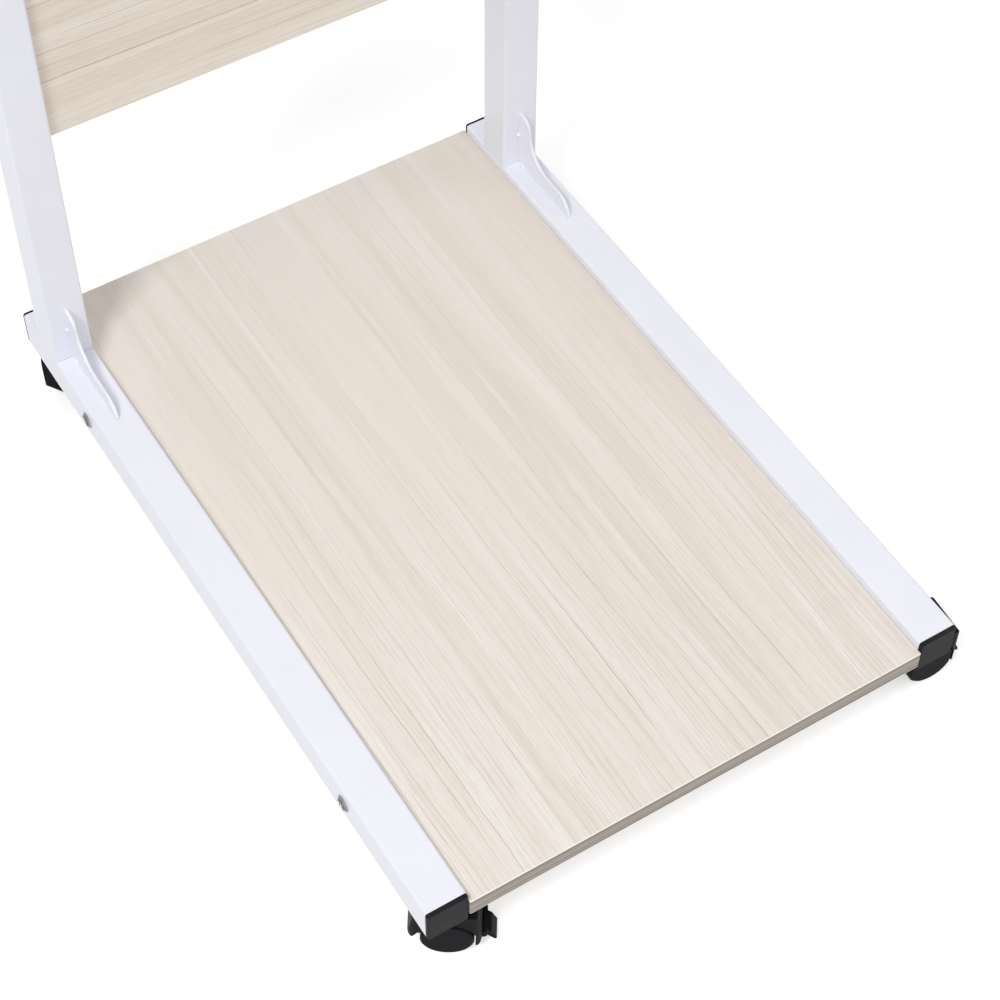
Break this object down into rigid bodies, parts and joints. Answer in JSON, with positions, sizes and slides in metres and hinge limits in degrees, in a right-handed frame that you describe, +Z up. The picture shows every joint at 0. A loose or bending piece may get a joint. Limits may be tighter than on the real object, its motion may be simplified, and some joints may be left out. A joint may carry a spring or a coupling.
{
  "type": "overbed laptop table",
  "caption": "Wheeled overbed table: white square-tube side frames, pale wood shelf and back panel, telescopic posts and a top with a tilting laptop board.",
  "frame": {"origin": "on the floor, under the middle of the table", "axes": "+Z up, -Y towards the open front, +X across the table, away from the side where the board is hinged"},
  "size_m": [0.4814, 0.61, 0.879],
  "materials": {
    "white_steel": "smooth white powder coat, satin",
    "board_laminate": "pale oak laminate with fine straight grain, satin",
    "black_plastic": "moulded black plastic, fine texture",
    "knob_plastic": "moulded black plastic, satin",
    "zinc_steel": "bright zinc plating",
    "caster_plastic": "black nylon, half gloss",
    "wheel_plastic": "black nylon wheel, worn tread"
  },
  "bodies": {
    "base_frame": {"left_base_rail": "white_steel", "right_base_rail": "white_steel", "left_upright": "white_steel", "right_upright": "white_steel", "left_foot_gusset": "white_steel", "right_foot_gusset": "white_steel", "base_board": "board_laminate", "base_board_screws": "zinc_steel", "back_panel": "board_laminate", "panel_tabs": "white_steel", "panel_screws": "zinc_steel", "rail_end_plugs": "black_plastic", "upright_collars": "black_plastic", "weld_nuts": "white_steel", "caster_stems": "zinc_steel"},
    "top_frame": {"left_inner_post": "white_steel", "right_inner_post": "white_steel", "inner_post_glides": "black_plastic", "left_arm": "white_steel", "right_arm": "white_steel", "arm_gussets": "white_steel", "arm_end_plugs": "black_plastic", "front_cross_bar": "white_steel", "middle_cross_bar": "white_steel", "fixed_board": "board_laminate", "fixed_board_screws": "zinc_steel", "hinge_frame_leaves": "zinc_steel", "hinge_pins": "zinc_steel", "tilt_bolts": "zinc_steel"},
    "tilting_board": {"tilt_board": "board_laminate", "hinge_board_leaves": "zinc_steel", "book_stop": "black_plastic", "tilt_board_screws": "zinc_steel", "front_quadrant": "white_steel", "rear_quadrant": "white_steel"},
    "left_height_clamp": {"left_height_knob": "knob_plastic", "left_knob_stud": "zinc_steel"},
    "right_height_clamp": {"right_height_knob": "knob_plastic", "right_knob_stud": "zinc_steel"},
    "front_tilt_clamp": {"front_tilt_knob": "knob_plastic"},
    "rear_tilt_clamp": {"rear_tilt_knob": "knob_plastic"},
    "front_left_swivel": {"front_left_hood": "caster_plastic", "front_left_axle": "zinc_steel"},
    "front_left_roller_a": {"front_left_wheel_a": "wheel_plastic"},
    "front_left_roller_b": {"front_left_wheel_b": "wheel_plastic"},
    "front_left_brake_rocker": {"front_left_brake": "caster_plastic"},
    "front_right_swivel": {"front_right_hood": "caster_plastic", "front_right_axle": "zinc_steel"},
    "front_right_roller_a": {"front_right_wheel_a": "wheel_plastic"},
    "front_right_roller_b": {"front_right_wheel_b": "wheel_plastic"},
    "front_right_brake_rocker": {"front_right_brake": "caster_plastic"},
    "rear_left_swivel": {"rear_left_hood": "caster_plastic", "rear_left_axle": "zinc_steel"},
    "rear_left_roller_a": {"rear_left_wheel_a": "wheel_plastic"},
    "rear_left_roller_b": {"rear_left_wheel_b": "wheel_plastic"},
    "rear_right_swivel": {"rear_right_hood": "caster_plastic", "rear_right_axle": "zinc_steel"},
    "rear_right_roller_a": {"rear_right_wheel_a": "wheel_plastic"},
    "rear_right_roller_b": {"rear_right_wheel_b": "wheel_plastic"}
  },
  "joints": [
    {"name": "height_slide", "type": "slide", "parent": "base_frame", "child": "top_frame", "axis": [0, 0, 1], "range_m": [-0.22, 0.08]},
    {"name": "board_tilt", "type": "hinge", "parent": "top_frame", "child": "tilting_board", "pos_m": [-0.2108, -0.105, 0.854], "axis": [0, -1, 0], "range_deg": [0, 35]},
    {"name": "left_knob_turn", "type": "hinge", "parent": "base_frame", "child": "left_height_clamp", "pos_m": [-0.222, 0.25, 0.512], "axis": [-1, 0, 0], "range_deg": [0, 360]},
    {"name": "right_knob_turn", "type": "hinge", "parent": "base_frame", "child": "right_height_clamp", "pos_m": [0.222, 0.25, 0.512], "axis": [1, 0, 0], "range_deg": [0, 360]},
    {"name": "front_knob_turn", "type": "hinge", "parent": "top_frame", "child": "front_tilt_clamp", "pos_m": [-0.10182, -0.28, 0.839], "axis": [0, -1, 0], "range_deg": [0, 360]},
    {"name": "rear_knob_turn", "type": "hinge", "parent": "top_frame", "child": "rear_tilt_clamp", "pos_m": [-0.10182, 0.12, 0.839], "axis": [0, 1, 0], "range_deg": [0, 360]},
    {"name": "front_left_swivel_turn", "type": "hinge", "parent": "base_frame", "child": "front_left_swivel", "pos_m": [-0.192, -0.263, 0.03], "axis": [0, 0, 1], "continuous": true},
    {"name": "front_left_roll_a", "type": "hinge", "parent": "front_left_swivel", "child": "front_left_roller_a", "pos_m": [-0.17984, -0.2709, 0.0175], "axis": [0.5446, 0.8387, 0], "continuous": true},
    {"name": "front_left_roll_b", "type": "hinge", "parent": "front_left_swivel", "child": "front_left_roller_b", "pos_m": [-0.17984, -0.2709, 0.0175], "axis": [0.5446, 0.8387, 0], "continuous": true},
    {"name": "front_left_brake_press", "type": "hinge", "parent": "front_left_swivel", "child": "front_left_brake_rocker", "pos_m": [-0.16097, -0.28315, 0.014], "axis": [0.5446, 0.8387, 0], "range_deg": [0, 18]},
    {"name": "front_right_swivel_turn", "type": "hinge", "parent": "base_frame", "child": "front_right_swivel", "pos_m": [0.192, -0.263, 0.03], "axis": [0, 0, 1], "continuous": true},
    {"name": "front_right_roll_a", "type": "hinge", "parent": "front_right_swivel", "child": "front_right_roller_a", "pos_m": [0.20647, -0.26401, 0.0175], "axis": [0.0698, 0.9976, 0], "continuous": true},
    {"name": "front_right_roll_b", "type": "hinge", "parent": "front_right_swivel", "child": "front_right_roller_b", "pos_m": [0.20647, -0.26401, 0.0175], "axis": [0.0698, 0.9976, 0], "continuous": true},
    {"name": "front_right_brake_press", "type": "hinge", "parent": "front_right_swivel", "child": "front_right_brake_rocker", "pos_m": [0.22891, -0.26558, 0.014], "axis": [0.0698, 0.9976, 0], "range_deg": [0, 18]},
    {"name": "rear_left_swivel_turn", "type": "hinge", "parent": "base_frame", "child": "rear_left_swivel", "pos_m": [-0.192, 0.263, 0.03], "axis": [0, 0, 1], "continuous": true},
    {"name": "rear_left_roll_a", "type": "hinge", "parent": "rear_left_swivel", "child": "rear_left_roller_a", "pos_m": [-0.17984, 0.2709, 0.0175], "axis": [-0.5446, 0.8387, 0], "continuous": true},
    {"name": "rear_left_roll_b", "type": "hinge", "parent": "rear_left_swivel", "child": "rear_left_roller_b", "pos_m": [-0.17984, 0.2709, 0.0175], "axis": [-0.5446, 0.8387, 0], "continuous": true},
    {"name": "rear_right_swivel_turn", "type": "hinge", "parent": "base_frame", "child": "rear_right_swivel", "pos_m": [0.192, 0.263, 0.03], "axis": [0, 0, 1], "continuous": true},
    {"name": "rear_right_roll_a", "type": "hinge", "parent": "rear_right_swivel", "child": "rear_right_roller_a", "pos_m": [0.2017, 0.27378, 0.0175], "axis": [-0.7431, 0.6691, 0], "continuous": true},
    {"name": "rear_right_roll_b", "type": "hinge", "parent": "rear_right_swivel", "child": "rear_right_roller_b", "pos_m": [0.2017, 0.27378, 0.0175], "axis": [-0.7431, 0.6691, 0], "continuous": true}
  ]
}
